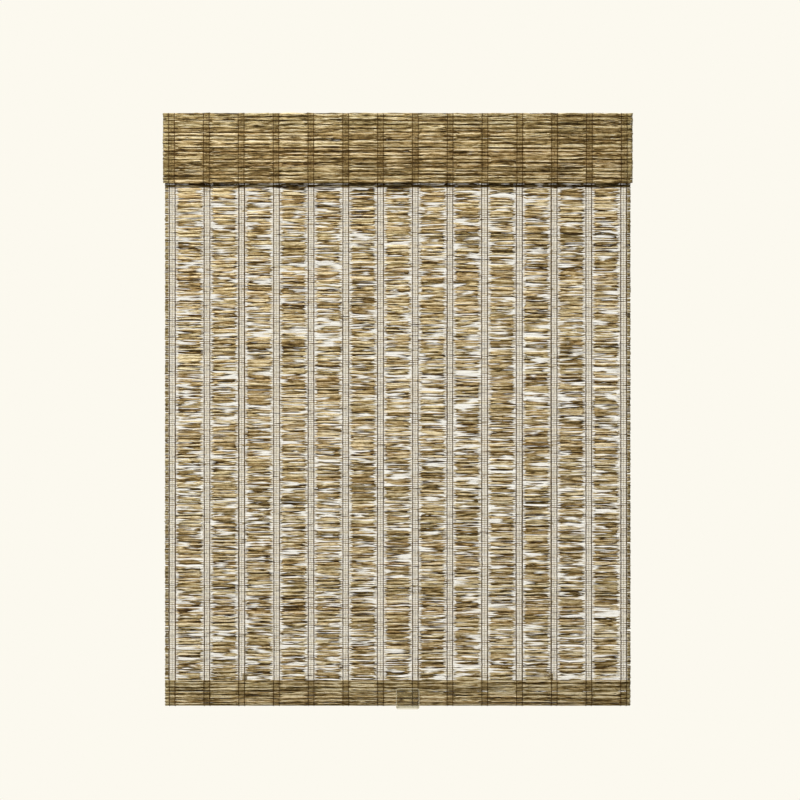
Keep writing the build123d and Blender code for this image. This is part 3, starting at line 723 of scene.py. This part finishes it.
def material(name, colour, roughness, metallic=0.0, specular=0.5, sheen=0.0):
    """A node material with a Principled shader; returns the material, its tree and the shader."""
    made = bpy.data.materials.new(name)
    made.use_nodes = True
    tree = made.node_tree
    shader = next(n for n in tree.nodes if n.type == "BSDF_PRINCIPLED")
    shader.inputs["Base Color"].default_value = (*colour, 1)
    shader.inputs["Roughness"].default_value = roughness
    shader.inputs["Metallic"].default_value = metallic
    shader.inputs["Specular IOR Level"].default_value = specular
    shader.inputs["Sheen Weight"].default_value = sheen
    made.diffuse_color = (*colour, 1)
    return made, tree, shader


def connect(tree, value, socket):
    """Links a socket, or sets a constant."""
    if isinstance(value, bpy.types.NodeSocket):
        tree.links.new(value, socket)
    else:
        socket.default_value = value


def node(tree, kind, settings=None, **inputs):
    """A new node. An input is named by its label, or by its number after an underscore."""
    made = tree.nodes.new(kind)
    for key, value in (settings or {}).items():
        setattr(made, key, value)
    for key, value in inputs.items():
        numbered = key[1:].isdigit()
        connect(tree, value, made.inputs[int(key[1:]) if numbered else key.replace("_", " ")])
    return made


def coordinates(tree, scale):
    """Places in the piece's own space, stretched by a scale on each axis."""
    place = node(tree, "ShaderNodeTexCoord")
    return node(tree, "ShaderNodeMapping", Vector=place.outputs["Object"], Scale=scale).outputs[0]


def noise(tree, scale, detail=3.0):
    """Noise in the piece's own space, stretched by a scale on each axis."""
    place = coordinates(tree, scale)
    return node(tree, "ShaderNodeTexNoise", Vector=place, Scale=1.0, Detail=detail).outputs["Fac"]


def bands(tree, fineness, scale, distortion):
    """Slanting bands, as on a twisted or braided thread."""
    place = coordinates(tree, (fineness,) * 3)
    return node(tree, "ShaderNodeTexWave", {"wave_type": "BANDS", "bands_direction": "DIAGONAL"},
                Vector=place, Scale=scale, Distortion=distortion).outputs["Fac"]


def math_node(tree, operation, *numbers, clamp=False):
    """The result of a sum on up to three sockets or constants."""
    made = tree.nodes.new("ShaderNodeMath")
    made.operation = operation
    made.use_clamp = clamp
    for number, socket in zip(numbers, made.inputs):
        connect(tree, number, socket)
    return made.outputs[0]


def ramp(tree, factor, stops):
    """Colours along a factor, from (position, colour) stops."""
    made = node(tree, "ShaderNodeValToRGB", Fac=factor)
    while len(made.color_ramp.elements) < len(stops):
        made.color_ramp.elements.new(0.5)
    for element, (position, colour) in zip(made.color_ramp.elements, stops):
        element.position = position
        element.color = (*colour, 1)
    return made.outputs[0]


def blend_colours(tree, factor, first, second):
    """A mix of two colour sockets."""
    made = node(tree, "ShaderNodeMix", {"data_type": "RGBA", "blend_type": "MIX"}, _0=factor)
    connect(tree, first, made.inputs[6])
    connect(tree, second, made.inputs[7])
    return made.outputs[2]


def bump(tree, shader, height, strength, distance):
    """Fine relief that stands out by a distance."""
    made = node(tree, "ShaderNodeBump", Height=height, Strength=strength, Distance=distance)
    tree.links.new(made.outputs[0], shader.inputs["Normal"])


def attribute(tree, name):
    """A number that the mesh carries at each ring."""
    return node(tree, "ShaderNodeAttribute", {"attribute_name": name}).outputs["Fac"]


def grained(name, colour, roughness, pattern, stops, relief, metallic=0.0, specular=0.5, sheen=0.0):
    """A surface whose colour and relief, given as (strength, distance), both follow a pattern."""
    made, tree, shader = material(name, colour, roughness, metallic, specular, sheen)
    height = pattern(tree)
    tree.links.new(ramp(tree, height, stops), shader.inputs["Base Color"])
    bump(tree, shader, height, *relief)
    return made


def speckled(name, colour, roughness, spread, grain=0.0):
    """A plain surface whose colour and gloss vary a little."""
    made, tree, shader = material(name, colour, roughness)
    field = noise(tree, (SPECKLE,) * 3)
    dark = tuple(c * (1 - spread) for c in colour)
    light = tuple(min(1, c * (1 + spread)) for c in colour)
    tree.links.new(ramp(tree, field, [(0.3, dark), (0.7, light)]), shader.inputs["Base Color"])
    rough = math_node(tree, "MULTIPLY_ADD", field, ROUGHNESS_SPREAD, roughness - ROUGHNESS_SPREAD / 2)
    tree.links.new(rough, shader.inputs["Roughness"])
    if grain:
        bump(tree, shader, noise(tree, (GRAIN,) * 3, detail=2.0), grain, 0.0003)
    return made


def brushed(name, colour, roughness):
    """Metal with fine lines along X."""
    dark = tuple(0.82 * c for c in colour)
    return grained(name, colour, roughness, lambda tree: noise(tree, (8, 900, 900), detail=2.0),
                   [(0.3, dark), (0.7, colour)], (0.12, 0.0001), metallic=1.0)


def reed_material():
    """Split reed. Its tone and hue come from the mesh, streaked along the stem and flecked with dark."""
    made, tree, shader = material("reed", srgb(148, 124, 84), 0.66, specular=0.14)
    streak = noise(tree, (90, 420, 700))
    fleck = noise(tree, (400, 600, 1000), detail=2.0)
    streaked = math_node(tree, "MULTIPLY_ADD", streak, STREAK_TONES, attribute(tree, "tone"))
    streaked = math_node(tree, "SUBTRACT", streaked, STREAK_TONES / 2)
    speck = math_node(tree, "MULTIPLY", math_node(tree, "GREATER_THAN", fleck, FLECK_ABOVE), FLECK_DARKER)
    tone = math_node(tree, "SUBTRACT", streaked, speck, clamp=True)
    warm = ramp(tree, tone, [(0.0, srgb(40, 20, 2)), (0.25, srgb(102, 75, 33)), (0.5, srgb(148, 121, 77)),
                             (0.75, srgb(179, 156, 116)), (1.0, srgb(207, 191, 159))])
    olive = ramp(tree, tone, [(0.0, srgb(38, 27, 5)), (0.25, srgb(96, 80, 41)), (0.5, srgb(141, 126, 85)),
                              (0.75, srgb(171, 159, 122)), (1.0, srgb(202, 194, 166))])
    tree.links.new(blend_colours(tree, attribute(tree, "hue"), warm, olive), shader.inputs["Base Color"])
    bump(tree, shader, streak, 0.35, 0.0004)
    return made


def yarn_material():
    """Brown twisted yarn, darker between its strands."""
    plain = srgb(92, 66, 32)
    made, tree, shader = material("warp_yarn", plain, 0.9, specular=0.08)
    twist = bands(tree, 900, 0.5, 0.6)
    colour = ramp(tree, noise(tree, (150, 150, 150)), [(0.3, srgb(44, 30, 12)), (0.7, srgb(80, 59, 29))])
    dark = (*(0.6 * c for c in plain), 1)
    mixed = blend_colours(tree, math_node(tree, "MULTIPLY", twist, 0.5), colour, dark)
    tree.links.new(mixed, shader.inputs["Base Color"])
    bump(tree, shader, twist, 0.5, 0.0002)
    return made


def tape_loops(tree):
    """Small round cells."""
    place = coordinates(tree, (900, 900, 900))
    return node(tree, "ShaderNodeTexVoronoi", Vector=place, Scale=1.0).outputs["Distance"]


def painted_edge_highlight(tree):
    """A band round the lift tab inside its edge, rounded at the corners, from 0 to 1: a painted highlight.
    """
    place = node(tree, "ShaderNodeSeparateXYZ", Vector=coordinates(tree, (1, 1, 1)))
    shares = []
    for axis, first, last in (("X", tab_low.x, tab_high.x), ("Z", tab_low.z, tab_high.z)):
        # -1 at one edge of the tab, 1 at the other
        share = math_node(tree, "MULTIPLY_ADD", place.outputs[axis], 2 / (last - first),
                          -(first + last) / (last - first))
        shares.append(math_node(tree, "POWER", math_node(tree, "ABSOLUTE", share), EDGE_POWER))
    edge = math_node(tree, "SUBTRACT", math_node(tree, "ADD", *shares), EDGE_BEGINS, clamp=True)
    return math_node(tree, "MULTIPLY", edge, EDGE_GROWTH, clamp=True)


def clear_material():
    """Clear plastic that shows most where it turns away and in a painted highlight round its edge."""
    made, tree, shader = material("clear_plastic", srgb(214, 208, 184), 0.1)
    haze = ramp(tree, noise(tree, (40, 40, 40)), [(0.35, srgb(204, 198, 172)), (0.65, srgb(222, 216, 194))])
    tree.links.new(haze, shader.inputs["Base Color"])
    see_through = node(tree, "ShaderNodeBsdfTransparent", Color=(0.93, 0.92, 0.87, 1))
    turned = node(tree, "ShaderNodeLayerWeight", Blend=0.5).outputs["Facing"]
    turned = math_node(tree, "POWER", turned, TURNED_POWER)
    shown = math_node(tree, "MULTIPLY_ADD", turned, TURNED_SHOWN, CLEAR_SHOWN)
    # A painted highlight: more of the lit surface shows in a band round the tab's edge
    edge = math_node(tree, "MULTIPLY", painted_edge_highlight(tree), PAINTED_EDGE_SHOWN)
    shown = math_node(tree, "ADD", shown, edge, clamp=True)
    mixed = node(tree, "ShaderNodeMixShader", _0=shown, _1=see_through.outputs[0], _2=shader.outputs[0])
    output = next(n for n in tree.nodes if n.type == "OUTPUT_MATERIAL")
    tree.links.new(mixed.outputs[0], output.inputs["Surface"])
    return made


reed = reed_material()
yarn = yarn_material()
cord = grained("lift_cord", srgb(206, 192, 160), 0.8, lambda tree: bands(tree, 700, 0.8, 1.0),
               [(0.2, srgb(168, 152, 116)), (0.8, srgb(222, 208, 178))], (0.5, 0.0002), specular=0.25)
tape = grained("hook_and_loop", srgb(196, 184, 160), 0.95, tape_loops,
               [(0.1, srgb(214, 204, 182)), (0.8, srgb(158, 146, 122))], (0.6, 0.0004), specular=0.15,
               sheen=0.3)
wood = grained("batten_wood", srgb(214, 186, 144), 0.6, lambda tree: noise(tree, (6, 160, 260), detail=4.0),
               [(0.3, srgb(190, 156, 108)), (0.55, srgb(218, 190, 146)), (0.75, srgb(230, 206, 168))],
               (0.3, 0.0003), specular=0.3)
MATERIALS = {
    "headrail_steel": speckled("headrail_steel", srgb(72, 68, 64), 0.42, spread=0.05, grain=0.1),
    "bracket_steel": brushed("bracket_steel", srgb(196, 198, 196), 0.34),
    "bright_steel": brushed("bright_steel", srgb(190, 190, 190), 0.25),
    "spring_steel": brushed("spring_steel", srgb(120, 126, 138), 0.3),
    "cap_plastic": speckled("cap_plastic", srgb(80, 74, 68), 0.5, spread=0.04, grain=0.2),
    "drum_plastic": speckled("drum_plastic", srgb(232, 232, 226), 0.38, spread=0.02),
    "mechanism_plastic": speckled("mechanism_plastic", srgb(214, 212, 202), 0.5, spread=0.03, grain=0.2),
    "small_plastic": speckled("small_plastic", srgb(222, 214, 192), 0.45, spread=0.03),
    "batten_wood": wood,
    "rail_aluminium": brushed("rail_aluminium", srgb(206, 206, 204), 0.38),
    "clear_plastic": clear_material(),
}

# The nodes that the scene shows as the part has them
slot_of = {row["node"]: row["material_slot"] for row in frame["record"]["subparts"]}
for name, solid in frame["nodes"].items():
    if slot_of[name] in MATERIALS:
        solid.data.materials.clear()
        solid.data.materials.append(MATERIALS[slot_of[name]])

# Bundles of the mat, its hem and the valance, from the top down and up the back of the hem
hidden_rows = int((mat_high.z - valance_low.z) / PITCH) + ROWS_PAST_VALANCE
hung_rows = MAT_ROWS - HEM_ROWS
# The last rows behind the valance get a painted shadow of it
behind = [bundle(FRONT_Y, level(r), darker=SHADED_DARKER if r >= hidden_rows - SHADED_ROWS else 0.0)
          for r in range(hidden_rows)]
hung = [bundle(FRONT_Y, level(r)) for r in range(hidden_rows, hung_rows)]
hem = [bundle(FRONT_Y, level(r)) for r in range(hung_rows, MAT_ROWS)]
for angle in TURN_ANGLES:
    a = math.radians(angle)
    hem.append(bundle(TURN_Y - TURN_RADIUS * math.cos(a), HEM_CENTRE - TURN_RADIUS * math.sin(a), a,
                      TURN_SCALE))
hem += [bundle(HEM_BACK_Y, HEM_CENTRE + (r + 0.5) * PITCH, math.pi) for r in range(POCKET_ROWS)]
shoulder = HEM_CENTRE + POCKET_ROWS * PITCH
slope = math.pi - math.atan2(HEM_BACK_Y - FRONT_Y, SLOPE_ROWS * PITCH)
for row in range(SLOPE_ROWS):
    share = (row + 0.5) / SLOPE_ROWS
    hem.append(bundle(HEM_BACK_Y + share * (FRONT_Y - HEM_BACK_Y), shoulder + (row + 0.5) * PITCH, slope,
                      SLOPE_SCALE))
over = [bundle(VALANCE_Y, valance_high.z - (r + 0.5) * VALANCE_PITCH) for r in range(VALANCE_ROWS)]

# Reeds
woven_behind = weave(behind, mat_high.x, PITCH, DENSE, 0, seed=11)
woven_hung = weave(hung, mat_high.x, PITCH, OPEN, HUNG_LIGHTER, seed=12)
woven_hem = weave(hem, mat_high.x, PITCH, DENSE, HEM_LIGHTER, seed=13)
woven_over = weave(over, valance_high.x, VALANCE_PITCH, DENSE, VALANCE_LIGHTER, seed=14)
for first, label in ((0, "upper"), (2, "lower"), (4, "rear")):
    stem_piece(f"mat_reeds_{label}", woven_hung[first:first + 2], "headrail", "shade_mat", squashed=True)
stem_piece("mat_reeds_behind_valance", woven_behind, "headrail", "shade_mat", squashed=True)
stem_piece("hem_reeds", woven_hem, "bottom_rail", "shade_mat")
stem_piece("valance_reeds", woven_over, "headrail", "valance")

# Warp yarns and middle threads
hung_levels = [level(r) for r in range(hung_rows)]
over_levels = [row[1] for row in over]
yarn_piece("mat_yarns", yarn_line(hung_levels, FRONT_Y, seed=21), MAT_YARN, "headrail",
           "shade_warp_yarns", squashed=True)
yarn_piece("mat_middle_yarns", middle_line(hung_levels, FRONT_Y, MAT_THREAD_CREST, seed=22), MAT_THREAD,
           "headrail", "shade_warp_yarns", squashed=True)
yarn_piece("valance_yarns", yarn_line(over_levels, VALANCE_Y, seed=23), FINE_YARN, "headrail",
           "valance_warp_yarns")
yarn_piece("valance_middle_yarns", middle_line(over_levels, VALANCE_Y, VALANCE_THREAD_CREST, seed=24),
           VALANCE_THREAD, "headrail", "valance_warp_yarns")
yarn_piece("hem_yarns", hem_line(seed=25), FINE_YARN, "bottom_rail", "shade_warp_yarns")

# Stray stems
strays("mat_stray_stems", STRAYS_OF_MAT, HEM_TOP + STRAY_MARGIN, valance_low.z - STRAY_MARGIN,
       FRONT_Y - STRAY_OUT, "shade_mat", seed=31, squashed=True)
strays("valance_stray_stems", STRAYS_OF_VALANCE, valance_low.z + STRAY_MARGIN,
       valance_high.z - STRAY_MARGIN, VALANCE_Y - STRAY_OUT, "valance", seed=32)

# Lift cords, knots and tapes
cord_parts("left_lift_cord", CORD_X)
cord_parts("right_lift_cord", -CORD_X)
for number, name in enumerate(TAPES):
    tape_strip(name, seed=41 + number)

# Camera, straight on at about the height of the shade's middle. The angle, in degrees, is half of what it
# sees
CAMERA_PLACE = (0.0045, -3.24, -0.581)
CAMERA_ANGLE = 14.1
CAMERA_SENSOR = 36
CAMERA_REACH = 60

camera = new_piece("camera", bpy.data.cameras.new("camera"))
camera.location = CAMERA_PLACE
camera.rotation_euler = (math.pi / 2, 0, 0)
camera.data.sensor_width = CAMERA_SENSOR
camera.data.lens = CAMERA_SENSOR / 2 / math.tan(math.radians(CAMERA_ANGLE))
camera.data.clip_end = CAMERA_REACH
bpy.context.scene.camera = camera

# Lamps: name, place, target, size, power and colour. The key lamp stands high on the left, the low one
# brightens the hem and the back one lights the shade from behind
LAMPS = (
    ("key", (-0.9, -1.9, 1.5), (0, 0, -0.7), (1.3, 0.9), 150, (1.0, 0.965, 0.90)),
    ("low", (-0.5, -2.6, -0.9), (0, 0, -0.9), (1.6, 1.6), 10, (1.0, 0.98, 0.94)),
    ("back", (0.8, 2.0, 1.9), (0, 0, -0.6), (1.2, 0.9), 90, (1.0, 0.98, 0.95)),
)
for name, place, target, size, power, colour in LAMPS:
    lamp = bpy.data.lights.new(name, "AREA")
    lamp.shape = "RECTANGLE"
    lamp.size, lamp.size_y = size
    lamp.energy = power
    lamp.color = colour
    piece = new_piece(name, lamp)
    piece.location = place
    piece.rotation_euler = (Vector(target) - Vector(place)).to_track_quat("-Z", "Y").to_euler()

# The world looks pale to the camera and lights the shade more softly
world = bpy.data.worlds.new("studio")
world.use_nodes = True
tree = world.node_tree
pale = tree.nodes["Background"]
pale.inputs["Color"].default_value = (*srgb(252, 249, 239), 1)
soft = node(tree, "ShaderNodeBackground", Color=(0.80, 0.79, 0.76, 1), Strength=0.34)
seen = node(tree, "ShaderNodeLightPath").outputs["Is Camera Ray"]
chosen = node(tree, "ShaderNodeMixShader", _0=seen, _1=soft.outputs[0], _2=pale.outputs[0])
tree.links.new(chosen.outputs[0], tree.nodes["World Output"].inputs["Surface"])
bpy.context.scene.world = world
bpy.context.scene.view_settings.view_transform = "Standard"

# Pale floor, well below the shade
FLOOR_Z = -2.0
FLOOR_HALF_WIDTH = 4
FLOOR_BACK = 1.2
floor_points = np.array([(-FLOOR_HALF_WIDTH, -FLOOR_HALF_WIDTH, FLOOR_Z),
                         (FLOOR_HALF_WIDTH, -FLOOR_HALF_WIDTH, FLOOR_Z),
                         (FLOOR_HALF_WIDTH, FLOOR_BACK, FLOOR_Z),
                         (-FLOOR_HALF_WIDTH, FLOOR_BACK, FLOOR_Z)])
floor = new_piece("floor", new_mesh("floor", floor_points, [np.array([[0, 1, 2, 3]])], False))
floor.data.materials.append(material("floor", srgb(232, 229, 222), 0.9)[0])
